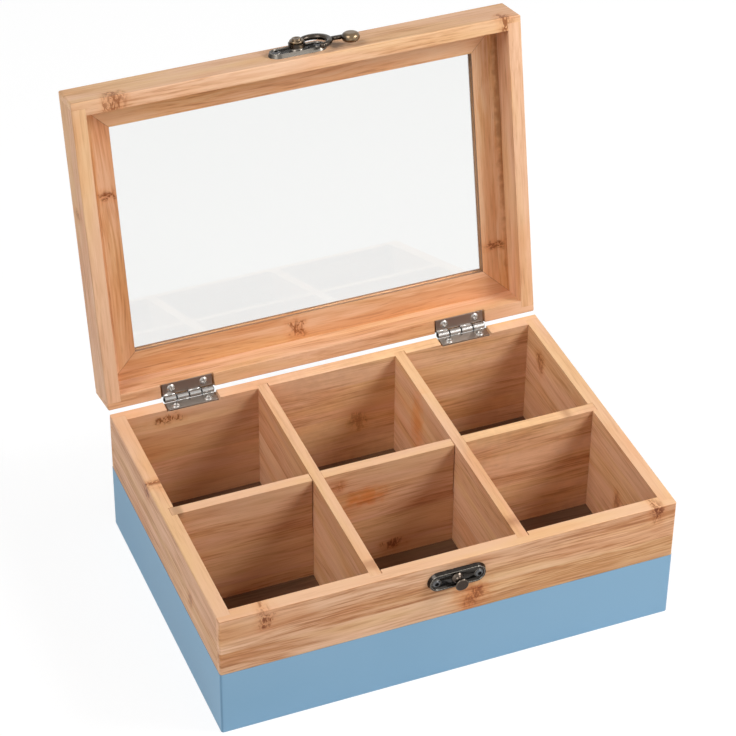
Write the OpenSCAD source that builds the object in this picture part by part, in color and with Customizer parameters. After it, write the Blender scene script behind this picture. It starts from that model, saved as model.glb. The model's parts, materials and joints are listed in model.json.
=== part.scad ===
// Tea bag box: a bamboo base with six compartments and a hinged lid with a glass window.
// Millimetres. X runs along the width, -Y is the front, Z is up. The origin is the middle
// of the base's underside. The lid and its latch are drawn closed, then swung open.

/* [Box] */
// Width of the box, left to right
box_w = 230; // [200:1:300]
// Depth of the box, front to back
box_d = 161; // [130:1:220]
// Height of the base without the lid
base_h = 69; // [55:1:110]
// Thickness of the walls and of the lid's rails
wall_t = 7; // [6.5:0.5:9]
// Radius of the box's four upright corners
corner_r = 1.2; // [0.8:0.1:2.5]
// Radius on the outer edges of the rims and of the lid
edge_r = 0.6; // [0.3:0.1:1]
// Height of the painted part of the outside
paint_h = 36.5; // [15:0.5:45]
// Thickness of the paint coat
paint_t = 0.15; // [0.1:0.05:0.3]

/* [Floor and dividers] */
// Thickness of the bottom panel
panel_t = 4; // [3:0.5:6]
// Height of the panel's underside above the table
panel_rise = 4.5; // [3:0.5:8]
// How far the panel's edges reach into the walls
panel_tongue = 3; // [2:0.25:3.5]
// Thickness of the dividers
divider_t = 5.5; // [4:0.5:8]
// Depth of the dados that hold the dividers' ends
dado_depth = 2.6; // [1.5:0.1:3.2]
// Extra width of the dados and of the cross-lap notches
dado_play = 0.35; // [0.1:0.05:0.6]

/* [Lid] */
// Height of the lid's rails
lid_h = 21; // [18:0.5:30]
// Gap between the closed lid and the base
lid_gap = 0.4; // [0.2:0.1:0.8]
// Angle at which the lid stands open
lid_open = 102; // [90:1:110]
// Thickness of the mitred window frame
frame_t = 5.7; // [5:0.1:8]
// Width of the window frame that shows inside the rails
frame_face = 14; // [10:0.5:20]
// Thickness of the glass
glass_t = 2; // [1.5:0.25:2.5]
// Depth of the glass behind the frame's inner face
glass_set = 1.9; // [1:0.1:2.2]
// Depth of the groove that holds the glass
glass_groove = 4; // [2:0.5:6]

/* [Hinges] */
// Length of each hinge
hinge_len = 26; // [20:1:34]
// Distance from the box's end to the middle of a hinge
hinge_inset = 41.6; // [30:0.2:60]
// Distance of the hinge pin behind the back wall
pin_out = 0.9; // [0.6:0.1:1.1]
// Diameter of the knuckles
knuckle_d = 3.4; // [3:0.1:4]
// Diameter of the hinge pin
pin_d = 1.6; // [1.2:0.1:1.8]
// Thickness of the leaves
leaf_t = 0.8; // [0.6:0.05:1]
// Room beyond each end of a hinge in its mortise
mortise_room = 1; // [0.4:0.1:2]
// Distance between the two screws of a leaf
screw_pitch = 17; // [13:0.5:17]
// Distance of the screws from the box's back face
screw_line = 4.1; // [3.8:0.1:4.3]
// Length of the hinge screws' shanks
screw_len = 8; // [6:0.5:12]

/* [Latch] */
// Distance of the latch to the right of the box's middle
latch_x = 1.5; // [-10:0.5:10]
// Length of the latch and catch plates
plate_len = 29.6; // [26:0.2:34]
// Width of the latch and catch plates
plate_w = 10.8; // [10:0.2:12]
// Thickness of the plates' raised rims
plate_t = 2; // [1.6:0.1:2.2]
// Distance between the two nails of a plate
nail_pitch = 21.5; // [19:0.5:22]
// Height of the hook's rivet above the lid's lower face
latch_rise = 9.6; // [8:0.2:11]
// Distance of the catch's peg below the base's rim
catch_drop = 9.6; // [8:0.2:11]
// Outer radius of the hook's crescent
crescent_r = 8.65; // [7.5:0.05:8.8]
// Width of the crescent at its top
crescent_w = 3.2; // [2.4:0.1:3.4]
// Thickness of the hook
hook_t = 2.8; // [2.2:0.1:3]
// Radius of the finger knob at the hook's end
knob_r = 4.5; // [3.8:0.1:4.8]
// Thickness of the finger knob
knob_t = 4.6; // [3.4:0.1:5]
// Diameter of the peg's neck
peg_neck_d = 3.7; // [3.2:0.1:3.8]
// Diameter of the peg's head
peg_head_d = 6.6; // [5.8:0.1:7]

/* [Hidden] */
$fn = 64;

// Clearances
wood_fit = 0.1;         // between a wooden end or edge and the bottom of its groove
glass_fit = 0.2;        // round the glass in its groove
pin_fit = 0.05;         // radial, round a hinge pin or the hook's rivet
axial_fit = 0.15;       // above and below the hook's hub
knuckle_gap = 0.4;      // between neighbouring knuckles
metal_fit = 0.3;        // between metal pieces that pass each other

// Corner joints: the long boards cover half of the short boards' ends
lap_t = wall_t / 2;

// Inside of the base
inner_w = box_w - 2 * wall_t;
inner_d = box_d - 2 * wall_t;
floor_z = panel_rise + panel_t;
divider_h = base_h - floor_z;
cross_x = (inner_w - 2 * divider_t) / 6 + divider_t / 2;    // middle of a cross divider

// Lid, closed
lid_z = base_h + lid_gap;
lid_top = lid_z + lid_h;
frame_z = lid_top - frame_t;
frame_w = inner_w + 2 * lap_t;
frame_d = inner_d + 2 * lap_t;
window_w = inner_w - 2 * frame_face;
window_d = inner_d - 2 * frame_face;
rail_w = (frame_w - window_w) / 2;

// Hinge line
pin_y = box_d / 2 + pin_out;
pin_z = base_h + lid_gap / 2;
hinge_x = box_w / 2 - hinge_inset;
knuckles = 4;
knuckle_len = hinge_len / knuckles;
leaf_reach = pin_out + wall_t - 0.2;            // from the pin to the leaf's far edge
slot_reach = knuckle_d / 2 + metal_fit;         // from the pin to the slots' ends
screw_reach = pin_out + screw_line;             // from the pin to the screws
mortise_len = hinge_len + 2 * mortise_room;
mortise_depth = (knuckle_d - lid_gap) / 2;

// Screws and nails
screw_d = 1.6;
screw_head_d = 4.2;
screw_head_t = (knuckle_d - 2 * leaf_t - metal_fit) / 2;    // clear of the other leaf's heads
nail_d = 1.4;
nail_head_d = 4;
nail_head_t = 0.8;
nail_eye_d = 1.7;
nail_len = 5.5;
stud_d = 3;             // shank of the hook's rivet and of the catch's peg
stud_len = 5;           // how deep those shanks go into the wood

// Latch plates
plate_bevel = 0.8;
rim_w = 0.9;
plate_floor = plate_t - 0.6;

// Latch hook, measured from its rivet, with heights above the wood
hook_z = plate_t + 0.9;
hook_reach = latch_rise + lid_gap + catch_drop;
hub_r = 4.2;
hub_t = 1.9;
rivet_head_d = 7.2;
rivet_head_t = 1.3;
rivet_button_d = 4.8;
rivet_button_t = 0.9;
seat_angle = -18.5;                             // direction of the peg's seat on the hook
seat_r = peg_neck_d / 2 + 0.35;
crescent_angle = -14.5;                         // direction of the crescent's middle
crescent_reach = hook_reach - peg_neck_d / 2 - 0.32 - crescent_r;
crescent_middle = crescent_reach * [cos(crescent_angle), sin(crescent_angle)];
crescent_inner_r = crescent_r - crescent_w + 0.65;
crescent_inner_shift = [-0.8, -0.7];            // makes the horn thinner towards its tip
tip_angle = -79;
tip_r = 7.45;                                   // from the crescent's middle to the tip's ball
tip_d = 3;
knob_angle = -13.3;
knob_reach = hook_reach + peg_neck_d / 2 + 0.3 + knob_r;
knob_middle = knob_reach * [cos(knob_angle), sin(knob_angle)];
knob_z = plate_t + metal_fit + 0.1;
neck_d = 2.2;

// Catch peg, heights above the wood
peg_foot_d = 6.2;
peg_head_z = hook_z + hook_t + metal_fit - 0.1;
peg_head_t = 1.1;

bamboo = [0.87, 0.69, 0.5];
bamboo_dark = [0.43, 0.32, 0.25];
nickel = [0.75, 0.74, 0.72];
bronze = [0.27, 0.24, 0.2];
brass = [0.55, 0.45, 0.3];
blue_paint = [0.5, 0.63, 0.74];

// ---------------------------------------------------------------- general shapes

// A flat rectangle with round corners, centred
module rounded_rect(size, r) {
    square([size.x - 2 * r, size.y], center = true);
    square([size.x, size.y - 2 * r], center = true);
    for (x = [-1, 1], y = [-1, 1])
        translate([x * (size.x / 2 - r), y * (size.y / 2 - r)]) circle(r);
}

// The outside of the base or of the lid, from z = 0 up, with all its edges eased
module eased_block(h) {
    intersection() {
        linear_extrude(h) rounded_rect([box_w, box_d], corner_r);
        translate([0, box_d / 2, h / 2]) rotate([90, 0, 0])
            linear_extrude(box_d) rounded_rect([box_w, h], edge_r);
        translate([-box_w / 2, 0, h / 2]) rotate([90, 0, 90])
            linear_extrude(box_w) rounded_rect([box_d, h], edge_r);
    }
}

// A board along the front, as long as the box is wide, rabbeted at both ends
module long_board(h) {
    difference() {
        translate([-box_w / 2, -box_d / 2, 0]) cube([box_w, wall_t, h]);
        for (side = [-1, 1])
            translate([side * (box_w - wall_t) / 2 - wall_t / 2, lap_t - box_d / 2, -1])
                cube([wall_t, wall_t, h + 2]);
    }
}

// A board along the left side, with its ends in the long boards' rabbets
module short_board(h) {
    translate([-box_w / 2, lap_t - box_d / 2, 0]) cube([wall_t, box_d - 2 * lap_t, h]);
}

// Moves the closed lid and what it carries to the open position
module swung_open() {
    translate([0, pin_y, pin_z]) rotate([-lid_open, 0, 0]) translate([0, -pin_y, -pin_z])
        children();
}

// Stands a latch piece on the front face, with its own Z pointing out of the wood
module on_front(z) {
    translate([latch_x, -box_d / 2, z]) rotate([90, 0, 0]) children();
}

// ---------------------------------------------------------------- base

module base_outline() {
    translate([0, 0, -edge_r - 1]) eased_block(base_h + edge_r + 1);
}

// Groove for the bottom panel, round the inside of all four walls
module panel_groove() {
    translate([0, 0, panel_rise + panel_t / 2])
        cube([inner_w + 2 * (panel_tongue + wood_fit), inner_d + 2 * (panel_tongue + wood_fit),
              panel_t + 2 * wood_fit], center = true);
}

// Dados for the cross dividers in the front and back walls
module cross_dados() {
    for (x = [-cross_x, cross_x])
        translate([x - divider_t / 2, -inner_d / 2 - dado_depth, floor_z])
            cube([divider_t + dado_play, inner_d + 2 * dado_depth, divider_h + 1]);
}

// Dados for the long divider in the side walls
module long_dados() {
    translate([-inner_w / 2 - dado_depth, -divider_t / 2, floor_z])
        cube([inner_w + 2 * dado_depth, divider_t + dado_play, divider_h + 1]);
}

module front_wall() {
    color(bamboo) difference() {
        intersection() { long_board(base_h); base_outline(); }
        panel_groove();
        cross_dados();
        on_front(base_h - catch_drop) {
            stud_hole();
            nail_holes();
        }
    }
}

module back_wall() {
    color(bamboo) difference() {
        intersection() { rotate(180) long_board(base_h); base_outline(); }
        panel_groove();
        cross_dados();
        at_hinges() { hinge_mortise(); screw_holes(); }
    }
}

module left_wall() {
    color(bamboo) difference() {
        intersection() { short_board(base_h); base_outline(); }
        panel_groove();
        long_dados();
    }
}

module right_wall() {
    color(bamboo) difference() {
        intersection() { rotate(180) short_board(base_h); base_outline(); }
        panel_groove();
        long_dados();
    }
}

module bottom_panel() {
    color(bamboo_dark) translate([0, 0, panel_rise + panel_t / 2])
        cube([inner_w + 2 * panel_tongue, inner_d + 2 * panel_tongue, panel_t], center = true);
}

// The long divider is notched from above, where the cross dividers pass over it
module long_divider() {
    length = inner_w + 2 * (dado_depth - wood_fit);
    color(bamboo) difference() {
        translate([-length / 2, -divider_t / 2, floor_z]) cube([length, divider_t, divider_h]);
        for (x = [-cross_x, cross_x])
            translate([x - divider_t / 2 - dado_play, -divider_t, floor_z + divider_h / 2])
                cube([divider_t + dado_play, 2 * divider_t, divider_h]);
    }
}

// A cross divider is notched from below, where it straddles the long one
module cross_divider(x) {
    length = inner_d + 2 * (dado_depth - wood_fit);
    color(bamboo) translate([x, 0, 0]) difference() {
        translate([-divider_t / 2, -length / 2, floor_z]) cube([divider_t, length, divider_h]);
        translate([-divider_t, -divider_t / 2 - dado_play / 2, floor_z - 1])
            cube([2 * divider_t, divider_t + dado_play, divider_h / 2 + 1]);
    }
}

// The coat of paint on the lower part of the outside
module paint_band() {
    color(blue_paint) difference() {
        linear_extrude(paint_h)
            rounded_rect([box_w + 2 * paint_t, box_d + 2 * paint_t], corner_r + paint_t);
        translate([0, 0, -1]) linear_extrude(paint_h + 2) rounded_rect([box_w, box_d], corner_r);
    }
}

// ---------------------------------------------------------------- lid

module lid_outline() {
    translate([0, 0, lid_z]) eased_block(lid_h);
}

// Rabbet round the lid's upper inside edge, in which the window frame lies
module frame_rabbet() {
    translate([-frame_w / 2, -frame_d / 2, frame_z]) cube([frame_w, frame_d, frame_t + 1]);
}

module lid_front_rail() {
    color(bamboo) swung_open() difference() {
        intersection() { translate([0, 0, lid_z]) long_board(lid_h); lid_outline(); }
        frame_rabbet();
        on_front(lid_z + latch_rise) {
            stud_hole();
            nail_holes();
        }
    }
}

module lid_back_rail() {
    color(bamboo) swung_open() difference() {
        intersection() { translate([0, 0, lid_z]) rotate(180) long_board(lid_h); lid_outline(); }
        frame_rabbet();
        at_hinges() mirror([0, 0, 1]) { hinge_mortise(); screw_holes(); }
    }
}

module lid_left_rail() {
    color(bamboo) swung_open() difference() {
        intersection() { translate([0, 0, lid_z]) short_board(lid_h); lid_outline(); }
        frame_rabbet();
    }
}

module lid_right_rail() {
    color(bamboo) swung_open() difference() {
        intersection() { translate([0, 0, lid_z]) rotate(180) short_board(lid_h); lid_outline(); }
        frame_rabbet();
    }
}

// One mitred side of the window frame: its outer edge is length long and lies reach from
// the middle of the lid, towards -Y. The groove holds the glass.
module mitred_rail(length, reach) {
    difference() {
        translate([0, -reach, frame_z]) linear_extrude(frame_t)
            polygon([[-length / 2, 0], [length / 2, 0],
                     [length / 2 - rail_w, rail_w], [rail_w - length / 2, rail_w]]);
        translate([-length / 2, rail_w - reach - glass_groove, frame_z + glass_set - glass_fit / 2])
            cube([length, glass_groove + 1, glass_t + glass_fit]);
    }
}

module window_front_rail() {
    color(bamboo) swung_open() mitred_rail(frame_w, frame_d / 2);
}

module window_back_rail() {
    color(bamboo) swung_open() rotate(180) mitred_rail(frame_w, frame_d / 2);
}

module window_left_stile() {
    color(bamboo) swung_open() rotate(-90) mitred_rail(frame_d, frame_w / 2);
}

module window_right_stile() {
    color(bamboo) swung_open() rotate(90) mitred_rail(frame_d, frame_w / 2);
}

module glass_pane() {
    bite = glass_groove - glass_fit;
    color([0.85, 0.92, 0.92, 0.35]) swung_open()
        translate([-window_w / 2 - bite, -window_d / 2 - bite, frame_z + glass_set])
            cube([window_w + 2 * bite, window_d + 2 * bite, glass_t]);
}

// ---------------------------------------------------------------- hinges
// A hinge is drawn with its pin along X through the origin. The base's leaf lies to -Y,
// half a knuckle below the pin, and the lid's leaf is its mirror image above.

module at_hinge(side) {
    translate([side * hinge_x, pin_y, pin_z]) children();
}

module at_hinges() {
    for (side = [-1, 1]) at_hinge(side) children();
}

module hinge_mortise() {
    translate([-mortise_len / 2, -pin_out - wall_t - 1, -knuckle_d / 2])
        cube([mortise_len, wall_t + 2, knuckle_d]);
}

module at_screws() {
    for (x = [-1, 1] * screw_pitch / 2) translate([x, -screw_reach, -knuckle_d / 2]) children();
}

module screw_holes() {
    at_screws() translate([0, 0, -screw_len - wood_fit])
        cylinder(d = screw_d + 2 * pin_fit, h = screw_len + 1, $fn = 24);
}

// A leaf with every second knuckle, from the one with the given number
module hinge_leaf(first) {
    difference() {
        union() {
            translate([-hinge_len / 2, -leaf_reach, -knuckle_d / 2])
                cube([hinge_len, leaf_reach - slot_reach, leaf_t]);
            for (i = [first:2:knuckles - 1])
                translate([i * knuckle_len - hinge_len / 2 + knuckle_gap / 2, 0, 0]) {
                    rotate([0, 90, 0]) cylinder(d = knuckle_d, h = knuckle_len - knuckle_gap);
                    translate([0, -slot_reach - 0.1, -knuckle_d / 2])
                        cube([knuckle_len - knuckle_gap, slot_reach + 0.1, leaf_t]);
                }
        }
        translate([-hinge_len / 2 - 1, 0, 0]) rotate([0, 90, 0])
            cylinder(d = pin_d + 2 * pin_fit, h = hinge_len + 2, $fn = 32);
        at_screws() translate([0, 0, -1])
            cylinder(d = screw_d + 4 * pin_fit, h = leaf_t + 2, $fn = 24);
    }
}

module hinge_base_leaf(side) {
    color(nickel) at_hinge(side) hinge_leaf(1);
}

module hinge_lid_leaf(side) {
    color(nickel) swung_open() at_hinge(side) mirror([0, 0, 1]) hinge_leaf(0);
}

// The pin's ends are peened to low domes
module hinge_pin(side) {
    dome_t = 0.35;
    color(nickel) at_hinge(side) {
        translate([-hinge_len / 2, 0, 0]) rotate([0, 90, 0])
            cylinder(d = pin_d, h = hinge_len, $fn = 32);
        for (end = [-1, 1]) translate([end * hinge_len / 2, 0, 0]) rotate([0, end * 90, 0])
            domed_head(pin_d + 0.6, dome_t);
    }
}

// A low round head that stands on z = 0
module domed_head(d, h) {
    r = (d * d / 4 + h * h) / (2 * h);
    rotate_extrude($fn = 32) intersection() {
        translate([0, h - r]) circle(r, $fn = 128);
        square([d / 2, h]);
    }
}

// A small cross-recess screw with its head on top of the leaf
module hinge_screw() {
    recess_w = 0.65;
    recess_t = 0.5;
    difference() {
        union() {
            translate([0, 0, leaf_t]) domed_head(screw_head_d, screw_head_t);
            translate([0, 0, 1 - screw_len])
                cylinder(d = screw_d, h = screw_len - 1 + leaf_t + 0.1, $fn = 24);
            translate([0, 0, -screw_len])
                cylinder(d1 = 0.4, d2 = screw_d, h = 1, $fn = 24);
        }
        for (turn = [0, 90]) rotate(turn)
            translate([-0.3 * screw_head_d, -recess_w / 2, leaf_t + screw_head_t - recess_t])
                cube([0.6 * screw_head_d, recess_w, 1]);
    }
}

module hinge_base_screws() {
    color(nickel) at_hinges() at_screws() hinge_screw();
}

module hinge_lid_screws() {
    color(nickel) swung_open() at_hinges() mirror([0, 0, 1]) at_screws() hinge_screw();
}

// ---------------------------------------------------------------- latch and catch
// Their pieces are drawn on the XY plane, which is the face of the wood, with the rivet or
// the peg at the origin and Z pointing out.

module stud_hole() {
    translate([0, 0, -stud_len - wood_fit])
        cylinder(d = stud_d + 2 * pin_fit, h = stud_len + 1, $fn = 32);
}

module at_nails() {
    for (x = [-1, 1] * nail_pitch / 2) translate([x, 0, 0]) children();
}

module nail_holes() {
    at_nails() translate([0, 0, -nail_len - wood_fit])
        cylinder(d = nail_d + 2 * pin_fit, h = nail_len + 1, $fn = 24);
}

// A round-ended bar whose width changes from w1 at z = 0 to w2 at z = h
module tapered_obround(middle_len, w1, w2, h) {
    for (x = [-1, 1] * middle_len / 2)
        translate([x, 0, 0]) cylinder(d1 = w1, d2 = w2, h = h);
    translate([-middle_len / 2, 0, 0]) rotate([90, 0, 90]) linear_extrude(middle_len)
        polygon([[-w1 / 2, 0], [w1 / 2, 0], [w2 / 2, h], [-w2 / 2, h]]);
}

// The cast plate of the latch or catch: bevelled, with a raised rim and two nail holes
module obround_plate(boss_d, boss_h) {
    middle_len = plate_len - plate_w;
    well_w = plate_w - 2 * (plate_bevel + rim_w);
    well_t = plate_t - plate_floor;
    difference() {
        union() {
            difference() {
                tapered_obround(middle_len, plate_w, plate_w - 2 * plate_bevel, plate_t);
                translate([0, 0, plate_floor])
                    tapered_obround(middle_len, well_w, well_w + 4 * well_t / 3, 2 * well_t);
            }
            cylinder(d = boss_d, h = boss_h);
            at_nails() cylinder(d = nail_head_d + 0.8, h = plate_floor + 0.25);
        }
        translate([0, 0, -1]) {
            cylinder(d = stud_d + 2 * pin_fit, h = boss_h + 2, $fn = 32);
            at_nails() cylinder(d = nail_d + 4 * pin_fit, h = plate_t + 2, $fn = 24);
        }
    }
}

// Two round-head nails whose heads have a deep eye, like a tubular rivet's
module plate_nails() {
    head_z = plate_floor + 0.25;
    eye_t = 0.7;
    at_nails() difference() {
        union() {
            translate([0, 0, head_z]) domed_head(nail_head_d, nail_head_t);
            translate([0, 0, 1 - nail_len])
                cylinder(d = nail_d, h = nail_len - 1 + head_z + 0.1, $fn = 24);
            translate([0, 0, -nail_len]) cylinder(d1 = 0.3, d2 = nail_d, h = 1, $fn = 24);
        }
        translate([0, 0, head_z + nail_head_t - eye_t])
            cylinder(d1 = nail_eye_d - 0.3, d2 = nail_eye_d, h = eye_t + 0.05, $fn = 24);
    }
}

module latch_plate() {
    color(bronze) swung_open() on_front(lid_z + latch_rise)
        obround_plate(2 * hub_r - 1, hook_z - axial_fit / 2);
}

module latch_nails() {
    color(bronze) swung_open() on_front(lid_z + latch_rise) plate_nails();
}

// The rivet that the hook turns on: a broad round-edged head with a dished button on top
module latch_rivet() {
    collar_z = hook_z + hub_t + axial_fit / 2;
    button_z = collar_z + rivet_head_t;
    dish_r = 4.5;
    dish_t = 0.3;
    color(brass) swung_open() on_front(lid_z + latch_rise) difference() {
        union() {
            translate([0, 0, -stud_len])
                cylinder(d = stud_d, h = stud_len + collar_z + 0.1, $fn = 32);
            translate([0, 0, collar_z]) eased_disc(rivet_head_d, rivet_head_t, 0.6);
            translate([0, 0, button_z - 0.1]) eased_disc(rivet_button_d, rivet_button_t + 0.1, 0.35);
        }
        translate([0, 0, button_z + rivet_button_t - dish_t + dish_r]) sphere(dish_r);
    }
}

// A disc that stands on z = 0, with its upper edge rounded
module eased_disc(d, t, ease) {
    rotate_extrude() {
        square([d / 2 - ease, t]);
        square([d / 2, t - ease]);
        intersection() {
            translate([d / 2 - ease, t - ease]) circle(ease, $fn = 32);
            square([d / 2, t]);
        }
    }
}

// Half of the cross-section of a disc with a round rim, about z = 0
module round_rim_profile(r, t) {
    square([r - t / 2, t / 2]);
    translate([0, -t / 2]) square([r - t / 2, t / 2]);
    intersection() {
        translate([r - t / 2, 0]) circle(t / 2);
        translate([0, -t]) square([r, 2 * t]);
    }
}

// The horn: a round-edged disc, less a smaller round-edged opening that is off centre, less
// the sector between the horn's tip and the hub. Its tip ends in a small ball.
module crescent() {
    far = 3 * crescent_r;
    translate(crescent_middle) difference() {
        rotate_extrude() round_rim_profile(crescent_r, hook_t);
        translate(crescent_inner_shift) rotate_extrude() difference() {
            translate([0, -hook_t]) square([crescent_inner_r + hook_t / 2, 2 * hook_t]);
            translate([crescent_inner_r + hook_t / 2, 0]) circle(hook_t / 2);
        }
        translate([0, 0, -hook_t]) linear_extrude(2 * hook_t)
            polygon([[0, 0], far * [cos(tip_angle), sin(tip_angle)], far * [-1, -2],
                     far * [-1, 0]]);
    }
    translate(crescent_middle + tip_r * [cos(tip_angle), sin(tip_angle)])
        sphere(d = tip_d, $fn = 32);
}

// The cast hook: a hub on the rivet, the crescent horn, and a neck that ends in the finger
// knob. The peg is caught in the seat between the horn and the knob.
module latch_hook() {
    arm = knob_middle - crescent_middle;
    arm_len = norm(arm);
    horn_mid_r = (crescent_r + crescent_inner_r) / 2;
    color(bronze) swung_open() on_front(lid_z + latch_rise) difference() {
        union() {
            translate([0, 0, hook_z]) cylinder(r = hub_r, h = hub_t);
            translate([0, 0, hook_z + hook_t / 2]) {
                crescent();
                // the neck leaves the horn above the line to the knob, clear of the peg's seat
                translate(crescent_middle) rotate(atan2(arm.y, arm.x) + 10)
                    translate([crescent_r - 2, 0, 0]) rotate([0, 90, 0])
                        cylinder(d = neck_d, h = arm_len - crescent_r + 1, $fn = 32);
            }
            translate([knob_middle.x, knob_middle.y, knob_z + knob_t / 2])
                rotate_extrude() round_rim_profile(knob_r, knob_t);
        }
        translate([0, 0, hook_z - 1])
            cylinder(d = stud_d + 2 * pin_fit, h = hook_t + 2, $fn = 32);
        translate([0, 0, hook_z + hub_t]) cylinder(d = rivet_head_d + 2 * metal_fit, h = hook_t);
        translate(concat(hook_reach * [cos(seat_angle), sin(seat_angle)], hook_z - 1))
            cylinder(r = seat_r, h = hook_t + knob_t + 1);
    }
}

module catch_plate() {
    color(bronze) on_front(base_h - catch_drop) obround_plate(peg_foot_d, plate_floor);
}

module catch_nails() {
    color(bronze) on_front(base_h - catch_drop) plate_nails();
}

// The mushroom peg: a shank in the wood, a low foot, a neck and a head that flares out
module catch_peg() {
    foot_top = hook_z - metal_fit;
    head_r = peg_head_d / 2;
    neck_r = peg_neck_d / 2;
    head_top = peg_head_z + peg_head_t;
    color(bronze) on_front(base_h - catch_drop) {
        translate([0, 0, -stud_len])
            cylinder(d = stud_d, h = stud_len + plate_floor + 0.1, $fn = 32);
        rotate_extrude() {
            polygon([[0, plate_floor], [peg_foot_d / 2, plate_floor],
                     [neck_r + 0.5, foot_top - 0.2], [neck_r, foot_top + 0.1],
                     [neck_r, peg_head_z], [head_r, peg_head_z + peg_head_t / 2],
                     [head_r, head_top - 0.3], [head_r - 0.3, head_top], [0, head_top]]);
        }
    }
}

// ---------------------------------------------------------------- assembly

front_wall();
back_wall();
left_wall();
right_wall();
bottom_panel();
long_divider();
cross_divider(-cross_x);  // cross_divider_left
cross_divider(cross_x);  // cross_divider_right
paint_band();
lid_front_rail();
lid_back_rail();
lid_left_rail();
lid_right_rail();
window_front_rail();
window_back_rail();
window_left_stile();
window_right_stile();
glass_pane();
hinge_base_leaf(-1);  // hinge_left_base_leaf
hinge_lid_leaf(-1);  // hinge_left_lid_leaf
hinge_pin(-1);  // hinge_left_pin
hinge_base_leaf(1);  // hinge_right_base_leaf
hinge_lid_leaf(1);  // hinge_right_lid_leaf
hinge_pin(1);  // hinge_right_pin
hinge_base_screws();
hinge_lid_screws();
latch_plate();
latch_hook();
latch_rivet();
latch_nails();
catch_plate();
catch_peg();
catch_nails();
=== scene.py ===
import json
from math import cos, radians, sin

import bmesh
import bpy
from mathutils import Matrix, Vector


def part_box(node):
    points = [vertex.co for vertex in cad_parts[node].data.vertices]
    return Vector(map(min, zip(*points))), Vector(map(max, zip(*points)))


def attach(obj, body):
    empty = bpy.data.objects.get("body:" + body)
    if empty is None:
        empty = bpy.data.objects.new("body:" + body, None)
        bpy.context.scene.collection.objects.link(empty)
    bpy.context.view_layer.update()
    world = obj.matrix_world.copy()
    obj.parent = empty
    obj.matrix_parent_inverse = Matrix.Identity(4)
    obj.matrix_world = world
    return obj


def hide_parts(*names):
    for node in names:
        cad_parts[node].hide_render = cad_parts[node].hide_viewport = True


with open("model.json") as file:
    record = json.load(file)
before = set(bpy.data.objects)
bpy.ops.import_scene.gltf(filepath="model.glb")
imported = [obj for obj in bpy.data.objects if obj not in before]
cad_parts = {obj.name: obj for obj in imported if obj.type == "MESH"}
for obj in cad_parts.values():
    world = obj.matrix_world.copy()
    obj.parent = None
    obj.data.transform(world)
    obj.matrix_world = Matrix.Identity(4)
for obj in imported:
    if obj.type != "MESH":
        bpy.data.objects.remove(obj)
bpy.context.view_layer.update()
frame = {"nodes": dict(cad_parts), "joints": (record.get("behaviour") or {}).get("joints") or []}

# ------------------------------------------------------------------ base walls
# Four 7 mm bamboo boards, lacquered satin. The front and back boards run the full width and
# are rabbeted at both ends, and the side boards are glued into those rabbets. Each board is
# pressed from strips, and every strip has its own tone and its own growth marks.
SAME_POINT = 2e-6       # corners nearer than this are one
FLAT = radians(1)       # faces that meet at less than this are one face
ARRIS = radians(40)     # an edge sharper than this is eased
CREASE = radians(46)    # an edge sharper than this is not shaded smooth


def cut_piece(name, node, ease, body, material):
    """A piece cut like its CAD node, with its sharp outer edges eased and the eased faces marked.

    The largest faces lead the shading at each corner, so flat faces stay flat up to the easing.
    """
    bm = bmesh.new()
    bm.from_mesh(frame["nodes"][node].data)
    eased_edge = bm.faces.layers.float.new("eased_edge")
    bmesh.ops.remove_doubles(bm, verts=bm.verts, dist=SAME_POINT)
    bmesh.ops.dissolve_limit(bm, angle_limit=FLAT, verts=bm.verts, edges=bm.edges)
    bm.normal_update()
    arrises = [edge for edge in bm.edges
               if edge.is_manifold and edge.is_convex and edge.calc_face_angle() > ARRIS]
    eased = bmesh.ops.bevel(bm, geom=arrises, offset=ease, offset_type="OFFSET", segments=2,
                            profile=0.5, affect="EDGES", clamp_overlap=True, material=-1)
    for face in eased["faces"]:
        face[eased_edge] = 1.0
    bm.normal_update()
    normals = []
    for corner in bm.verts:
        creased = any(edge.is_manifold and edge.calc_face_angle() > CREASE
                      for edge in corner.link_edges)
        lean = sum((face.normal * face.calc_area() for face in corner.link_faces), Vector())
        normals.append(Vector() if creased else lean.normalized())
    mesh = bpy.data.meshes.new(name)
    bm.to_mesh(mesh)
    bm.free()
    mesh.materials.append(material)
    mesh.shade_smooth()
    mesh.set_sharp_from_angle(angle=CREASE)
    mesh.normals_split_custom_set_from_vertices(normals)
    piece = bpy.data.objects.new(name, mesh)
    bpy.context.collection.objects.link(piece)
    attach(piece, body)
    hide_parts(node)
    return piece


def feed(tree, sockets, values):
    """Each value goes into its input socket, by a link where it is a socket itself."""
    for socket, value in zip(sockets, values):
        if isinstance(value, bpy.types.NodeSocket):
            tree.links.new(value, socket)
        elif value is not None:
            socket.default_value = value


def math_node(tree, operation, a, b=0.0, clamp=False):
    """A Math node; a and b are sockets or numbers."""
    node = tree.nodes.new("ShaderNodeMath")
    node.operation = operation
    node.use_clamp = clamp
    feed(tree, node.inputs, (a, b))
    return node.outputs[0]


def total(tree, first, *others):
    """The sum of sockets and numbers."""
    for other in others:
        first = math_node(tree, "ADD", first, other)
    return first


def swing(tree, value, width):
    """A value from 0 to 1 as a swing to both sides of nothing, this wide in all."""
    return math_node(tree, "MULTIPLY", math_node(tree, "SUBTRACT", value, 0.5), width)


def soft_step(tree, value, low, high, to_low=0.0, to_high=1.0):
    """A smooth step of a socket, as its value goes from low to high."""
    node = tree.nodes.new("ShaderNodeMapRange")
    node.interpolation_type = "SMOOTHSTEP"
    feed(tree, node.inputs, (value, low, high, to_low, to_high))
    return node.outputs[0]


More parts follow.
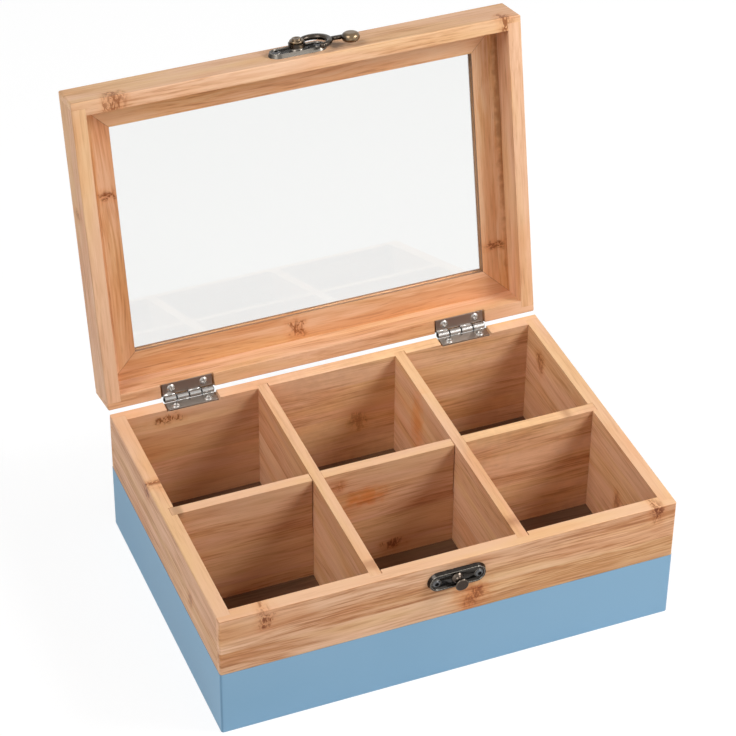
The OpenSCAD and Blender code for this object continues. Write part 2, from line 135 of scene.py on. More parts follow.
def vector_node(tree, operation, a, b=None):
    """A Vector Math node; a and b are sockets or vectors. A length or a dot is a number."""
    node = tree.nodes.new("ShaderNodeVectorMath")
    node.operation = operation
    feed(tree, node.inputs, (a, b))
    return node.outputs["Value" if operation in ("LENGTH", "DOT_PRODUCT") else "Vector"]


def combined(tree, x=0.0, y=0.0, z=0.0):
    """A vector from three sockets or numbers."""
    node = tree.nodes.new("ShaderNodeCombineXYZ")
    feed(tree, node.inputs, (x, y, z))
    return node.outputs[0]


def separated(tree, vector):
    """The X, Y and Z sockets of a vector."""
    node = tree.nodes.new("ShaderNodeSeparateXYZ")
    feed(tree, node.inputs, (vector,))
    return node.outputs


def stretched_noise(tree, vector, stretch, detail=2.0, roughness=0.5, distortion=0.0):
    """Noise with so many grains per metre in each direction."""
    noise = tree.nodes.new("ShaderNodeTexNoise")
    names = ("Vector", "Scale", "Detail", "Roughness", "Distortion")
    feed(tree, [noise.inputs[name] for name in names],
         (vector_node(tree, "MULTIPLY", vector, stretch), 1.0, detail, roughness, distortion))
    return noise.outputs["Fac"]


def mix_colours(tree, factor, a, b, blend="MIX"):
    """A Mix node for colours; a and b are sockets or colours."""
    node = tree.nodes.new("ShaderNodeMix")
    node.data_type = "RGBA"
    node.blend_type = blend
    feed(tree, (node.inputs["Factor"], node.inputs[6], node.inputs[7]), (factor, a, b))
    return node.outputs[2]


def bumped(tree, height, strength, distance):
    """The normal of a surface with this height on it."""
    bump = tree.nodes.new("ShaderNodeBump")
    feed(tree, [bump.inputs[name] for name in ("Height", "Strength", "Distance")],
         (height, strength, distance))
    return bump.outputs[0]


def new_material(name):
    """A material with its node tree, its shader's inputs and the piece's Object coordinates."""
    material = bpy.data.materials.new(name)
    material.use_nodes = True
    tree = material.node_tree
    coordinates = tree.nodes.new("ShaderNodeTexCoord").outputs
    return material, tree, tree.nodes["Principled BSDF"].inputs, coordinates["Object"]


def new_group(name, inputs, outputs):
    """An empty shader node group, with the sockets it is given and those it fills."""
    group = bpy.data.node_groups.new(name, "ShaderNodeTree")
    for socket, kind, value in inputs:
        made = group.interface.new_socket(socket, in_out="INPUT", socket_type="NodeSocket" + kind)
        if value is not None:
            made.default_value = value
    for socket, kind in outputs:
        group.interface.new_socket(socket, in_out="OUTPUT", socket_type="NodeSocket" + kind)
    given = group.nodes.new("NodeGroupInput").outputs
    result = group.nodes.new("NodeGroupOutput").inputs
    return group, given, result


def make_grain_group():
    """Bamboo cut along its length: strips, wandering streaks, fibres and short dark dashes.

    X runs along the grain and Y across the strips.
    """
    group, given, result = new_group(
        "bamboo_grain",
        [("Vector", "Vector", None), ("Board", "Float", 0.0), ("Strip Width", "Float", 0.0195),
         ("Light", "Color", (0.9, 0.58, 0.36, 1)), ("Middle", "Color", (0.68, 0.36, 0.19, 1)),
         ("Dark", "Color", (0.4, 0.16, 0.07, 1)), ("Streaks", "Float", 1.0)],
        [("Color", "Color"), ("Height", "Float"), ("Fibre", "Float")])

    # the strip that a point lies in, and that strip's own tone
    across = math_node(group, "DIVIDE", separated(group, given["Vector"])["Y"],
                       given["Strip Width"])
    board_shift = math_node(group, "MULTIPLY", given["Board"], 0.37)
    strip = math_node(group, "FLOOR", total(group, across, board_shift))
    chance = group.nodes.new("ShaderNodeTexWhiteNoise")
    chance.noise_dimensions = "2D"
    feed(group, (chance.inputs["Vector"],), (combined(group, strip, given["Board"]),))
    tone = chance.outputs["Value"]

    # each strip comes from its own place in the stem, and its grain wanders a little sideways
    further_on = total(group, math_node(group, "MULTIPLY", tone, 3.1), given["Board"])
    deeper = math_node(group, "MULTIPLY", tone, 0.7)
    moved = vector_node(group, "ADD", given["Vector"], combined(group, further_on, 0.0, deeper))
    bend = swing(group, stretched_noise(group, moved, (9, 22, 22)), 0.010)
    flow = vector_node(group, "ADD", moved, combined(group, 0.0, bend))

    bands = stretched_noise(group, flow, (11, 115, 115), detail=3)
    streaks = stretched_noise(group, flow, (42, 880, 880), detail=3, roughness=0.6)
    fibres = stretched_noise(group, flow, (80, 3000, 3000))
    vessels = stretched_noise(group, flow, (110, 2300, 2300), detail=1)
    straw_clouds = stretched_noise(group, flow, (10, 70, 70))
    warm_clouds = stretched_noise(group, moved, (16, 48, 48))
    calm_clouds = stretched_noise(group, moved, (14, 70, 70), detail=1)
    calm = soft_step(group, calm_clouds, 0.36, 0.62, 0.35, 1.0)

    # from the light tone towards the middle one, by bands, streaks, strips and fibres
    broad = math_node(group, "MULTIPLY", soft_step(group, bands, 0.32, 0.68), 0.55)
    fine = math_node(group, "MULTIPLY", soft_step(group, streaks, 0.36, 0.66), calm)
    shade = total(group, broad, math_node(group, "MULTIPLY", fine, 0.62),
                  swing(group, tone, 0.36), swing(group, fibres, 0.5), 0.1)
    shade = math_node(group, "MULTIPLY", shade, given["Streaks"], clamp=True)
    colour = mix_colours(group, shade, given["Light"], given["Middle"])
    straw = math_node(group, "MULTIPLY", soft_step(group, straw_clouds, 0.42, 0.66), 0.7)
    colour = mix_colours(group, straw, colour, (1.0, 1.03, 0.84, 1), "MULTIPLY")
    warm = math_node(group, "MULTIPLY", soft_step(group, warm_clouds, 0.5, 0.68), 0.7)
    colour = mix_colours(group, warm, colour, (0.97, 0.85, 0.74, 1), "MULTIPLY")

    # reddish dark lines in the denser bands, and short dashes where vessels are cut open
    lines = math_node(group, "MULTIPLY", soft_step(group, streaks, 0.52, 0.66),
                      soft_step(group, bands, 0.36, 0.60))
    lines = math_node(group, "MULTIPLY", lines, calm)
    dashes = soft_step(group, vessels, 0.66, 0.75)
    dark = total(group, math_node(group, "MULTIPLY", lines, 0.5),
                 math_node(group, "MULTIPLY", dashes, 0.25))
    dark = math_node(group, "MULTIPLY", dark, given["Streaks"], clamp=True)
    feed(group, (result["Color"], result["Height"], result["Fibre"]),
         (mix_colours(group, dark, colour, given["Dark"]),
          math_node(group, "SUBTRACT", fibres, dashes), fibres))
    return group


def make_growth_mark_group():
    """The mark that a joint of the bamboo stem leaves across one strip: short dark slits."""
    group, given, result = new_group(
        "bamboo_growth_mark",
        [("Vector", "Vector", None), ("Place", "Vector", (0, 0, 0)),
         ("Size", "Vector", (0.004, 0.006, 1))],
        [("Slits", "Float"), ("Tint", "Float")])
    off = vector_node(group, "SUBTRACT", given["Vector"], given["Place"])
    reach = vector_node(group, "LENGTH", vector_node(group, "DIVIDE", off, given["Size"]))
    ragged = stretched_noise(group, given["Vector"], (230, 260, 60), detail=3)
    edge = total(group, reach, swing(group, ragged, 1.9))
    wisps = stretched_noise(group, given["Vector"], (620, 300, 260), detail=3, roughness=0.6,
                            distortion=0.9)
    core = math_node(group, "MULTIPLY", soft_step(group, edge, 0.5, -0.1), 0.4)
    slits = math_node(group, "ADD", soft_step(group, wisps, 0.43, 0.54), core, clamp=True)
    feed(group, (result["Slits"], result["Tint"]),
         (math_node(group, "MULTIPLY", slits, soft_step(group, edge, 1.0, 0.3)),
          soft_step(group, edge, 1.7, 0.2)))
    return group


grain_group = make_grain_group()
growth_mark_group = make_growth_mark_group()


def growth_mark(tree, vector, x, y, length, width):
    """The growth mark's masks at one place along and across a board, in this size."""
    mark = tree.nodes.new("ShaderNodeGroup")
    mark.node_tree = growth_mark_group
    feed(tree, [mark.inputs[name] for name in ("Vector", "Place", "Size")],
         (vector, (x, y, 0), (length, width, 1)))
    return mark.outputs


def bamboo(name, board, along, across, tones, marks=(), tints_and_painted_light=(), middle=(0, 0, 0),
           streaks=1.0, edge_streaks=0.3, edge_shade=None, gloss=0.22):
    """Bamboo whose grain runs along one direction, with strips side by side across another.

    Each board number gives another piece of bamboo. Growth marks are (along, across, length,
    width, strength), and coloured blushes and patches of painted light and shade are (along,
    across, length, width, tint), placed from the board's middle; a tint above one paints light.
    The narrow edges show fewer streaks than the faces. An edge shade, where given, paints shade
    on them.
    """
    mark_tint, slit_tint = (0.90, 0.72, 0.56, 1), (0.38, 0.23, 0.14, 1)
    material, tree, shader, place = new_material(name)
    along, across = Vector(along), Vector(across)
    turn = Matrix((along, across, along.cross(across)))
    turned = tree.nodes.new("ShaderNodeMapping")
    feed(tree, [turned.inputs[name] for name in ("Vector", "Location", "Rotation")],
         (place, -(turn @ Vector(middle)), turn.to_euler()))
    board_place = turned.outputs[0]
    facing = place.node.outputs["Normal"]
    sideways = math_node(tree, "ABSOLUTE", vector_node(tree, "DOT_PRODUCT", facing, across))

    grain = tree.nodes.new("ShaderNodeGroup")
    grain.node_tree = grain_group
    feed(tree, [grain.inputs[name] for name in ("Vector", "Board", "Streaks")],
         (board_place, board, soft_step(tree, sideways, 0.5, 0.9, streaks, edge_streaks)))
    feed(tree, [grain.inputs[name] for name in ("Light", "Middle", "Dark")],
         [(*tone, 1) for tone in tones])
    colour = grain.outputs["Color"]
    for *where, tint in tints_and_painted_light:
        patch = growth_mark(tree, board_place, *where)["Tint"]
        colour = mix_colours(tree, patch, colour, (*tint, 1), "MULTIPLY")
    for *where, strength in marks:
        mark = growth_mark(tree, board_place, *where)
        tinted = math_node(tree, "MULTIPLY", mark["Tint"], 0.7)
        colour = mix_colours(tree, tinted, colour, mark_tint, "MULTIPLY")
        slit = math_node(tree, "MULTIPLY", mark["Slits"], strength)
        colour = mix_colours(tree, slit, colour, slit_tint, "MULTIPLY")
    if edge_shade:
        colour = mix_colours(tree, soft_step(tree, sideways, 0.3, 0.7), colour,
                             (*edge_shade, 1), "MULTIPLY")
    shader["Specular IOR Level"].default_value = gloss
    feed(tree, (shader["Base Color"], shader["Roughness"], shader["Normal"]),
         (colour, soft_step(tree, grain.outputs["Fibre"], 0.3, 0.7, 0.42, 0.56),
          bumped(tree, grain.outputs["Height"], 0.35, 0.00012)))
    return material


RIGHT, BACK, UP = (1, 0, 0), (0, 1, 0), (0, 0, 1)
WALL_TONES = ((0.85, 0.53, 0.335), (0.57, 0.26, 0.115), (0.33, 0.115, 0.042))
BOARD_EASE = 0.00018    # how far the boards' sharp edges are sanded back

front_wall_bamboo = bamboo(
    "front_wall_bamboo", 1.3, RIGHT, UP, WALL_TONES, streaks=1.2, edge_streaks=0.15,
    marks=[(-0.0924, 0.0640, 0.0044, 0.0075, 1.0), (0.1052, 0.0650, 0.0044, 0.0065, 1.0),
           (0.0115, 0.0445, 0.0062, 0.0088, 0.75)],
    tints_and_painted_light=[(0.0100, 0.0450, 0.0080, 0.0110, (0.95, 0.74, 0.55))])
cut_piece("front_wall_board", "front_wall", BOARD_EASE, "base", front_wall_bamboo)

back_wall_bamboo = bamboo(
    "back_wall_bamboo", 2.9, RIGHT, UP, WALL_TONES, streaks=0.75,
    marks=[(-0.0876, 0.0632, 0.0090, 0.0034, 1.0), (0.0134, 0.0335, 0.0075, 0.0070, 0.45)],
    # painted light: a lighter patch on the right part of the wall, where more light falls
    tints_and_painted_light=[(0.0450, 0.0400, 0.0650, 0.0400, (1.13, 1.19, 1.17))])
cut_piece("back_wall_board", "back_wall", BOARD_EASE, "base", back_wall_bamboo)

left_wall_bamboo = bamboo(
    "left_wall_bamboo", 4.1, BACK, UP, WALL_TONES, streaks=0.85,
    marks=[(0.0223, 0.0660, 0.0046, 0.0060, 0.9), (-0.0400, 0.0480, 0.0035, 0.0065, 0.5)])
cut_piece("left_wall_board", "left_wall", BOARD_EASE, "base", left_wall_bamboo)

right_wall_bamboo = bamboo(
    "right_wall_bamboo", 5.7, BACK, UP, WALL_TONES, streaks=0.7,
    marks=[(0.0577, 0.0553, 0.0048, 0.0075, 0.7), (-0.0350, 0.0350, 0.0040, 0.0070, 0.6)])
cut_piece("right_wall_board", "right_wall", BOARD_EASE, "base", right_wall_bamboo)

# ------------------------------------------------------------------ floor of the box
# One 4 mm panel of bamboo, coloured far darker than the walls, held loose in a groove round
# the inside of the walls.
# It has little lacquer, so it shines less than they do.
FLOOR_TONES = ((0.20, 0.115, 0.07), (0.14, 0.075, 0.045), (0.06, 0.028, 0.015))

floor_bamboo = bamboo(
    "floor_bamboo", 7.2, RIGHT, BACK, FLOOR_TONES, gloss=0.1,
    marks=[(-0.060, 0.030, 0.0040, 0.0080, 0.8), (0.045, -0.036, 0.0040, 0.0080, 0.8)])
cut_piece("floor_panel", "bottom_panel", BOARD_EASE, "base", floor_bamboo)

# ------------------------------------------------------------------ dividers
# Three 5.5 mm bamboo strips. Each crossing is a cross-lap: the two short dividers are notched
# from below and drop over the long one. All ends are let into the walls.
long_divider_bamboo = bamboo(
    "long_divider_bamboo", 8.6, RIGHT, UP, WALL_TONES, streaks=0.75,
    marks=[(-0.0259, 0.0608, 0.0035, 0.0040, 0.3), (0.0024, 0.0159, 0.0070, 0.0040, 0.9)],
    tints_and_painted_light=[(-0.0120, 0.0502, 0.0100, 0.0045, (1.0, 0.68, 0.42)),
             # painted light: a lighter patch on the right part of its front face, where more
             # light falls
             (0.0750, 0.0400, 0.0280, 0.0400, (1.15, 1.15, 1.12)),
             (-0.1076, 0.0690, 0.0024, 0.0030, (0.66, 0.64, 0.60)),
             (0.0949, 0.0695, 0.0024, 0.0012, (0.70, 0.62, 0.60))])
cut_piece("long_divider_strip", "long_divider", BOARD_EASE, "base", long_divider_bamboo)

for side, board, tints_and_painted_light in (
        ("left", 10.4, [(-0.0691, 0.0695, 0.0036, 0.0014, (0.70, 0.62, 0.60))]),
        ("right", 11.9, [(-0.0649, 0.0695, 0.0036, 0.0014, (0.70, 0.62, 0.60)),
                         (0.0440, 0.0497, 0.0060, 0.0150, (1.0, 0.76, 0.54))])):
    divider_bamboo = bamboo(f"{side}_divider_bamboo", board, BACK, UP, WALL_TONES,
                            tints_and_painted_light=tints_and_painted_light, streaks=0.65)
    cut_piece(f"{side}_divider_strip", f"cross_divider_{side}", BOARD_EASE, "base",
              divider_bamboo)

# ------------------------------------------------------------------ painted band
# The lower half of the outside, masked along a straight line and sprayed with satin blue
# paint. The coat is so thin that the wood's surface shows through as a faint texture. It is
# painted a little darker where it wraps round the upright corners, as shade on their rounding,
# and at its edges.
PAINT_TONES = ((0.25, 0.435, 0.605, 1), (0.265, 0.45, 0.62, 1))
RIM_SHADE_TONE = (0.12, 0.23, 0.37, 1)
CORNER_ZONE = 0.0011    # width of the darker stretch at an upright corner
PAINT_EASE = 0.00006

paint, tree, shader, place = new_material("satin_blue_paint")
clouds = stretched_noise(tree, place, (14, 14, 20), detail=3)
colour = mix_colours(tree, soft_step(tree, clouds, 0.3, 0.7), *PAINT_TONES)
coat_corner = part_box("paint_band")[1]
from_middle = separated(tree, vector_node(tree, "ABSOLUTE", place))
near_side = soft_step(tree, from_middle["X"], coat_corner.x - CORNER_ZONE,
                      coat_corner.x - CORNER_ZONE / 3)
near_front = soft_step(tree, from_middle["Y"], coat_corner.y - CORNER_ZONE,
                       coat_corner.y - CORNER_ZONE / 3)
coat_edge = tree.nodes.new("ShaderNodeAttribute")
coat_edge.attribute_name = "eased_edge"
# painted shade on the rounding of the upright corners, joined by the darker eased edges
rim_shade = math_node(tree, "MAXIMUM", math_node(tree, "MULTIPLY", near_side, near_front),
                coat_edge.outputs["Fac"])
shader["Specular IOR Level"].default_value = 0.06
feed(tree, (shader["Base Color"], shader["Roughness"], shader["Normal"]),
     (mix_colours(tree, math_node(tree, "MULTIPLY", rim_shade, 0.6), colour, RIM_SHADE_TONE),
      soft_step(tree, clouds, 0.3, 0.7, 0.38, 0.46),
      bumped(tree, stretched_noise(tree, place, (700, 700, 900)), 0.15, 0.00006)))
cut_piece("paint_coat", "paint_band", PAINT_EASE, "base", paint)

# ------------------------------------------------------------------ lid rails
# A frame of four 7 mm boards, rabbeted at the corners like the base. The lid stands open,
# so its boards' directions are those of the closed lid turned back about the hinge line.
LID_GAP = 0.0004        # between the closed lid and the base
LID_TONES = ((0.87, 0.55, 0.355), (0.64, 0.305, 0.145), (0.36, 0.13, 0.048))

joints = {joint["name"]: joint for joint in frame["joints"]}
LID_OPEN = radians(joints["lid_hinge"]["range_deg"][1])
HINGE_LINE = Vector(joints["lid_hinge"]["pos_m"])
LID_BACK = (0, cos(LID_OPEN), -sin(LID_OPEN))
LID_UP = (0, sin(LID_OPEN), cos(LID_OPEN))
closed_middle = Vector((0, 0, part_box("front_wall")[1].z + LID_GAP))
lid_middle = HINGE_LINE + Matrix.Rotation(-LID_OPEN, 3, "X") @ (closed_middle - HINGE_LINE)

for side, board, along, streaks, edge_streaks, marks in (
        ("front", 13.3, RIGHT, 0.75, 0.75, [(-0.0934, 0.001, 0.0066, 0.0060, 0.8),
                                            (0.1066, 0.001, 0.0045, 0.0060, 0.9)]),
        ("back", 14.8, RIGHT, 0.75, 0.75, []),
        ("left", 16.1, LID_BACK, 0.9, 0.45, [(-0.020, 0.012, 0.0035, 0.0060, 0.5)]),
        ("right", 17.7, LID_BACK, 0.7, 0.75, [])):
    rail_bamboo = bamboo(f"lid_{side}_rail_bamboo", board, along, LID_UP, LID_TONES,
                         marks=marks, middle=lid_middle, streaks=streaks,
                         edge_streaks=edge_streaks)
    cut_piece(f"lid_{side}_board", f"lid_{side}_rail", BOARD_EASE, "lid", rail_bamboo)

# ------------------------------------------------------------------ window frame
# Four mitred bamboo strips, 5.7 mm thick, glued into a rabbet round the rails' upper inside
# edge. A groove in their inner edges holds the glass. Their narrow edges are painted dark, as the
# shadow gap round the glass, and the right strip has painted shade along its joint with the rail.
# The front and right strips are painted lighter, as the light that falls on them.
WINDOW_TONES = ((0.90, 0.57, 0.36), (0.72, 0.355, 0.17), (0.40, 0.145, 0.055))
# painted light: lighter tones for the front and right strips, as the light that falls on them
PAINTED_LIGHT_WINDOW_TONES = ((0.94, 0.62, 0.39), (0.82, 0.42, 0.205), (0.44, 0.16, 0.06))
# painted shade on the strips' narrow edges, the shadow gap round the glass
EDGE_SHADOW = (0.4, 0.34, 0.3)

for side, kind, board, along, across, tones, marks, tints_and_painted_light in (
        ("front", "rail", 19.2, RIGHT, LID_BACK, PAINTED_LIGHT_WINDOW_TONES, [], []),
        ("back", "rail", 20.9, RIGHT, LID_BACK, WINDOW_TONES,
         [(-0.0091, 0.0675, 0.0055, 0.0065, 0.9)], []),
        ("left", "stile", 22.4, LID_BACK, RIGHT, WINDOW_TONES,
         [(-0.0249, -0.0983, 0.0032, 0.0065, 1.0)], []),
        ("right", "stile", 23.6, LID_BACK, RIGHT, PAINTED_LIGHT_WINDOW_TONES,
         [(0.0462, 0.1015, 0.0032, 0.0065, 0.9)],
         # painted shade along the right strip's joint with the right rail
         [(-0.0300, 0.1082, 0.0700, 0.0026, (0.58, 0.48, 0.42))])):
    strip_bamboo = bamboo(f"window_{side}_strip_bamboo", board, along, across, tones, marks,
                          tints_and_painted_light, middle=lid_middle, streaks=1.15, edge_shade=EDGE_SHADOW)
    cut_piece(f"window_{side}_strip", f"window_{side}_{kind}", BOARD_EASE, "lid",
              strip_bamboo)

# ------------------------------------------------------------------ window glass
# One 2 mm pane of float glass with ground edges, held by the groove in the window frame. It
# lets lamp light through without a shadow.
GLASS_EASE = 0.0003

glass, tree, shader, place = new_material("float_glass")
shader["Base Color"].default_value = (0.885, 0.89, 0.88, 1)
shader["Transmission Weight"].default_value = 1.0
shader["IOR"].default_value = 1.5
smears = stretched_noise(tree, place, (18, 18, 18), detail=3)
feed(tree, (shader["Roughness"],), (soft_step(tree, smears, 0.4, 0.7, 0.0, 0.02),))
ray = tree.nodes.new("ShaderNodeLightPath")
clear = tree.nodes.new("ShaderNodeBsdfTransparent")
either = tree.nodes.new("ShaderNodeMixShader")
feed(tree, either.inputs, (ray.outputs["Is Shadow Ray"],
                           tree.nodes["Principled BSDF"].outputs[0], clear.outputs[0]))
feed(tree, (tree.nodes["Material Output"].inputs["Surface"],), (either.outputs[0],))
cut_piece("window_pane", "glass_pane", GLASS_EASE, "lid", glass)

# ------------------------------------------------------------------ hinges
# Two small butt hinges, stamped from nickel-plated steel. Each leaf lies in a shallow mortise,
# its knuckles are rolled round a peened pin, and two cross-recess screws hold it.
KNUCKLES = 4            # on each pin, by turns the lid's and the base's
KNUCKLE_REACH = 0.0019      # from the pin's middle line, just outside the knuckles
KNUCKLE_FADE = 0.0005
# painted shade for the gaps between the knuckles
GAP_SHADE = (0.03, 0.027, 0.024, 1)
LEAF_EASE = 0.00008
SMALL_EASE = 0.00006    # for pins, screws and nails

hinge_low, hinge_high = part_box("hinge_right_base_leaf")
hinge_x = (hinge_low.x + hinge_high.x) / 2
knuckle_length = (hinge_high.x - hinge_low.x) / KNUCKLES


def plated_metal(name, far_tone, near_pin_tone):
    """Plated metal in one tone round the hinge pin and another, rougher one further from it.

    Painted shade darkens the ends of the knuckles, where the gaps between them fall.
    """
    material, tree, shader, place = new_material(name)
    from_pin = vector_node(tree, "SUBTRACT", place, HINGE_LINE)
    radius = vector_node(tree, "LENGTH", vector_node(tree, "MULTIPLY", from_pin, (0, 1, 1)))
    away = soft_step(tree, radius, KNUCKLE_REACH, KNUCKLE_REACH + KNUCKLE_FADE)
    cloud = stretched_noise(tree, place, (160, 160, 160), detail=3)
    dull = math_node(tree, "MULTIPLY", away, soft_step(tree, cloud, 0.2, 0.6, 0.8, 1.0))

    side_on = math_node(tree, "ABSOLUTE", separated(tree, place)["X"])
    from_hinge = math_node(tree, "SUBTRACT", side_on, hinge_x)
    knuckle = math_node(tree, "FRACT", math_node(tree, "DIVIDE", from_hinge, knuckle_length))
    from_centre = math_node(tree, "ABSOLUTE", math_node(tree, "SUBTRACT", knuckle, 0.5))
    # painted shade at the ends of each knuckle
    gap_shade = math_node(tree, "SUBTRACT", soft_step(tree, from_centre, 0.42, 0.46), away,
                      clamp=True)

    scratches = swing(tree, stretched_noise(tree, place, (300, 5000, 5000), detail=1), 0.05)
    shader["Metallic"].default_value = 1.0
    feed(tree, (shader["Base Color"], shader["Roughness"]),
         (mix_colours(tree, gap_shade, mix_colours(tree, dull, near_pin_tone, far_tone), GAP_SHADE),
          total(tree, scratches, soft_step(tree, dull, 0.0, 1.0, 0.2, 0.34))))
    return material


# painted highlight: the knuckles are painted brighter than the leaves
nickel = plated_metal("nickel_plate", (0.33, 0.285, 0.25, 1), (0.42, 0.40, 0.38, 1))
screw_steel = plated_metal("screw_steel", (0.38, 0.355, 0.33, 1), (0.3, 0.29, 0.275, 1))
for side in ("left", "right"):
    cut_piece(f"{side}_hinge_lower_leaf", f"hinge_{side}_base_leaf", LEAF_EASE, "base",
              nickel)
    cut_piece(f"{side}_hinge_upper_leaf", f"hinge_{side}_lid_leaf", LEAF_EASE, "lid",
              nickel)
    cut_piece(f"{side}_hinge_pin_rod", f"hinge_{side}_pin", SMALL_EASE, "base",
              screw_steel)
cut_piece("hinge_screws_lower", "hinge_base_screws", SMALL_EASE, "base", screw_steel)
cut_piece("hinge_screws_upper", "hinge_lid_screws", SMALL_EASE, "lid", screw_steel)

# ------------------------------------------------------------------ latch on the lid
# Die-cast plate and hook, dipped to a dark bronze and rubbed back to brass where a hand
# touches them. Their eased edges are painted brighter, as wear and a highlight, and the plates'
# down-facing slopes as a reflection. A domed rivet holds the hook, and two nails, their eyes
# painted black as shade in the hollows, hold the plate.
NAIL_PITCH = 0.0215     # between the two nails of a plate
EYE_RADIUS = 0.00095    # of the dark hollow in a nail's head
EYE_SHADE = (0.008, 0.007, 0.006, 1)
BRASS_FROM = 0.0225     # the folded hook is rubbed to brass beyond this X, at its knob
CASTING_EASE = 0.00025
RIVET_EASE = 0.0003
PLATE_TONES = ((0.038, 0.033, 0.029, 1), (0.38, 0.34, 0.29, 1))
HOOK_TONES = ((0.06, 0.048, 0.038, 1), (0.30, 0.205, 0.115, 1))
RIVET_TONES = ((0.14, 0.10, 0.065, 1), (0.36, 0.27, 0.16, 1))
NAIL_TONES = ((0.12, 0.118, 0.12, 1), (0.26, 0.24, 0.21, 1))
LID_DOWN = tuple(-number for number in LID_UP)


def antique_bronze(name, dark, brass, clouds, edge_wear_and_shine, lit_toward=None, brass_from=None,
                   eyes=None):
    """Dark patina, with brass that shows in worn clouds, and along the eased edges as wear and
    a painted highlight.

    Slopes that face the given direction are painted brighter, as the light and reflections
    on them, and everything beyond an X is brighter with wear. Eyes, given as the middle of a
    pair of nails and the direction across it, are painted black, as shade in their hollows.
    """
    material, tree, shader, place = new_material(name)
    cloud = stretched_noise(tree, place, (330, 330, 330), detail=3, roughness=0.55)
    edge = tree.nodes.new("ShaderNodeAttribute")
    edge.attribute_name = "eased_edge"
    # worn clouds, and eased edges painted brighter as wear and a highlight
    worn_and_lit = math_node(tree, "ADD", soft_step(tree, cloud, 0.66 - clouds, 0.86 - clouds),
                     math_node(tree, "MULTIPLY", edge.outputs["Fac"], edge_wear_and_shine), clamp=True)
    if lit_toward:
        # painted light: slopes that face the given direction are painted brighter
        facing = tree.nodes.new("ShaderNodeNewGeometry").outputs["True Normal"]
        slope = vector_node(tree, "DOT_PRODUCT", facing, lit_toward)
        worn_and_lit = math_node(tree, "MAXIMUM", worn_and_lit, soft_step(tree, slope, 0.2, 0.7, 0.0, 0.36))
    if brass_from:
        beyond = soft_step(tree, separated(tree, place)["X"], brass_from, brass_from + 0.003,
                           0.0, 0.6)
        worn_and_lit = math_node(tree, "MAXIMUM", worn_and_lit, beyond)
    colour = mix_colours(tree, worn_and_lit, dark, brass)
    if eyes:
        middle, across = (Vector(given) for given in eyes)
        off_along = math_node(tree, "SUBTRACT", separated(tree, place)["X"], middle.x)
        off_across = math_node(tree, "SUBTRACT", vector_node(
            tree, "DOT_PRODUCT", place, across), middle.dot(across))
        off_nail = math_node(tree, "SUBTRACT", math_node(tree, "ABSOLUTE", off_along),
                             NAIL_PITCH / 2)
        radius = vector_node(tree, "LENGTH", combined(tree, off_nail, off_across))
        # painted shade: each nail's eye is painted black, as the shade in its hollow
        eye_shade = soft_step(tree, radius, EYE_RADIUS, EYE_RADIUS * 1.2, 1.0, 0.0)
        colour = mix_colours(tree, eye_shade, colour, EYE_SHADE)
    pits = stretched_noise(tree, place, (1400, 1400, 1400))
    shader["Metallic"].default_value = 1.0
    feed(tree, (shader["Base Color"], shader["Roughness"], shader["Normal"]),
         (colour, soft_step(tree, cloud, 0.3, 0.7, 0.3, 0.2), bumped(tree, pits, 0.08, 0.00004)))
    return material


latch_middle = joints["latch_hook_pivot"]["pos_m"]
# painted reflection: the plate's down-facing slopes are painted bright, as the white table they
# mirror
lid_plate_bronze = antique_bronze("latch_plate_bronze", *PLATE_TONES, -0.05, 0.8, LID_DOWN)
hook_bronze = antique_bronze("hook_bronze", *HOOK_TONES, 0.1, 0.45, brass_from=BRASS_FROM)
rivet_brass = antique_bronze("rivet_brass", *RIVET_TONES, 0.15, 0.5)
lid_nail_bronze = antique_bronze("latch_nail_bronze", *NAIL_TONES, 0.0, 0.6,
                                 eyes=(latch_middle, LID_UP))
cut_piece("latch_back_plate", "latch_plate", CASTING_EASE, "lid",
          lid_plate_bronze)
cut_piece("latch_swing_hook", "latch_hook", CASTING_EASE, "hook", hook_bronze)
cut_piece("latch_hook_rivet", "latch_rivet", RIVET_EASE, "lid", rivet_brass)
cut_piece("latch_plate_nails", "latch_nails", SMALL_EASE, "lid",
          lid_nail_bronze)

# ------------------------------------------------------------------ catch on the base
# The same cast plate with a mushroom peg, nailed to the front wall below the latch. The peg is
# painted brighter on its upper left, as the light that falls there.
PEG_TONES = ((0.058, 0.042, 0.034, 1), (0.20, 0.165, 0.13, 1))
DOWN = (0, 0, -1)
UPPER_LEFT = (-0.5, 0, 0.87)

catch_low, catch_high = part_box("catch_plate")
catch_middle = (catch_low + catch_high) / 2
# painted reflection: the plate's down-facing slopes are painted bright, as the white table they
# mirror
base_plate_bronze = antique_bronze("catch_plate_bronze", *PLATE_TONES, -0.05, 0.8, DOWN)
peg_bronze = antique_bronze("peg_bronze", *PEG_TONES, -0.05, 0.5, UPPER_LEFT)
base_nail_bronze = antique_bronze("catch_nail_bronze", *NAIL_TONES, 0.0, 0.6,
                                  eyes=(catch_middle, UP))
cut_piece("catch_back_plate", "catch_plate", CASTING_EASE, "base",
          base_plate_bronze)
cut_piece("catch_mushroom_peg", "catch_peg", CASTING_EASE, "base", peg_bronze)
cut_piece("catch_plate_nails", "catch_nails", SMALL_EASE, "base",
          base_nail_bronze)

# ------------------------------------------------------------------ table and room
# A plain white table in a white room. They glow only for rays that show them, straight on or
# mirrored. On the box itself they throw no more light than a pale table in a dim room.
TABLE_GLOW = 0.86
TABLE_SHOWN = (0.16, 0.16, 0.16, 1)
TABLE_LIT = (0.9, 0.9, 0.9, 1)
ROOM_LIGHT = 0.06


def seen_ray(tree):
    """1 for rays that show a surface itself or its mirror image, 0 for those that light one."""
    ray = tree.nodes.new("ShaderNodeLightPath").outputs
    mirrored = math_node(tree, "MAXIMUM", ray["Is Glossy Ray"], ray["Is Transmission Ray"])
    direct = math_node(tree, "LESS_THAN", ray["Diffuse Depth"], 0.5)
    return math_node(tree, "MULTIPLY", direct,
                     math_node(tree, "MAXIMUM", ray["Is Camera Ray"], mirrored))


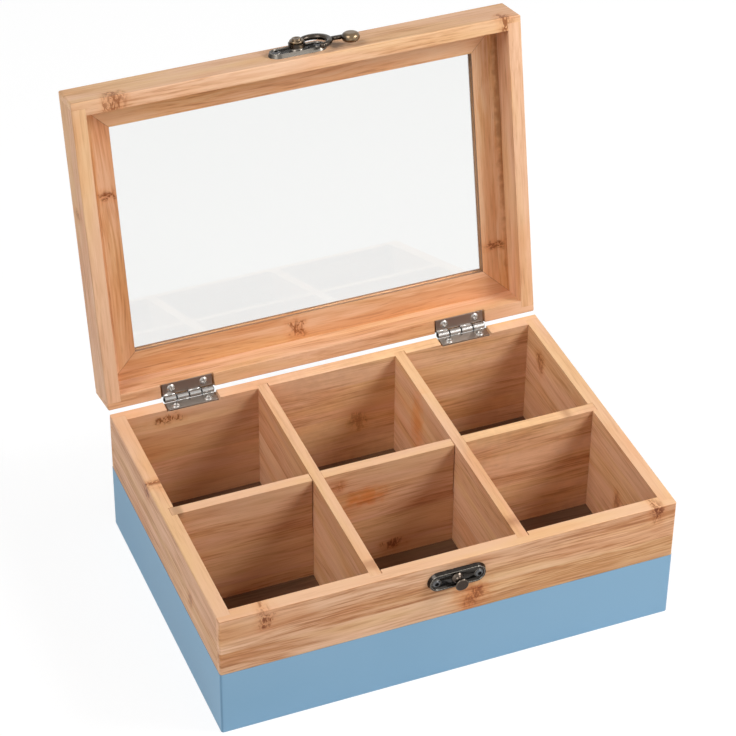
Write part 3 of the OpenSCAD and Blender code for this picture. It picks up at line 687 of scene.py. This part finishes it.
white, tree, shader, _ = new_material("white_table")
seen = seen_ray(tree)
shader["Roughness"].default_value = 0.9
shader["Emission Color"].default_value = (1, 1, 1, 1)
feed(tree, (shader["Emission Strength"], shader["Base Color"]),
     (math_node(tree, "MULTIPLY", seen, TABLE_GLOW),
      mix_colours(tree, seen, TABLE_LIT, TABLE_SHOWN)))

table_mesh = bpy.data.meshes.new("table_top")
bm = bmesh.new()
bmesh.ops.create_grid(bm, x_segments=1, y_segments=1, size=6)
bm.to_mesh(table_mesh)
bm.free()
table_mesh.materials.append(white)
table_top = bpy.data.objects.new("table_top", table_mesh)
bpy.context.collection.objects.link(table_top)

room = bpy.data.worlds.new("white_room")
bpy.context.scene.world = room
room.use_nodes = True
tree = room.node_tree
background = tree.nodes["Background"].inputs
background["Color"].default_value = (1, 1, 1, 1)
shown = math_node(tree, "MULTIPLY", seen_ray(tree), 1 - ROOM_LIGHT)
feed(tree, (background["Strength"],), (total(tree, ROOM_LIGHT, shown),))

# ------------------------------------------------------------------ light and camera
# Four soft boxes hang round the table: a broad one high on the left, a small one close on the
# right, and two weak ones in front. The camera has a long lens and looks down from the front
# left.
LAMPS_AIM = Vector((0, 0, 0.08))
CAMERA_PLACE = (-0.40086, -0.94643, 0.91519)
CAMERA_TURN = (52.388, -0.581, -21.940)    # in degrees

for name, place, power, size in (("soft_box_over_left", (-1.1, -0.2, 1.5), 16.5, 1.0),
                                 ("soft_box_front_left", (-1.5, -0.9, 1.0), 3.5, 1.0),
                                 ("soft_box_near_right", (0.72, -0.37, 0.82), 9, 0.45),
                                 ("soft_box_front_right", (1.0, -1.5, 0.9), 5.5, 1.0)):
    lamp = bpy.data.lights.new(name, "AREA")
    lamp.energy = power
    lamp.size = size
    holder = bpy.data.objects.new(name, lamp)
    holder.location = place
    holder.rotation_euler = (LAMPS_AIM - Vector(place)).to_track_quat("-Z", "Y").to_euler()
    bpy.context.collection.objects.link(holder)

lens = bpy.data.cameras.new("camera")
lens.lens = 135.0
lens.sensor_width = 36
camera = bpy.data.objects.new("camera", lens)
camera.location = CAMERA_PLACE
camera.rotation_euler = [radians(angle) for angle in CAMERA_TURN]
bpy.context.collection.objects.link(camera)
bpy.context.scene.camera = camera
bpy.context.scene.view_settings.view_transform = "Standard"
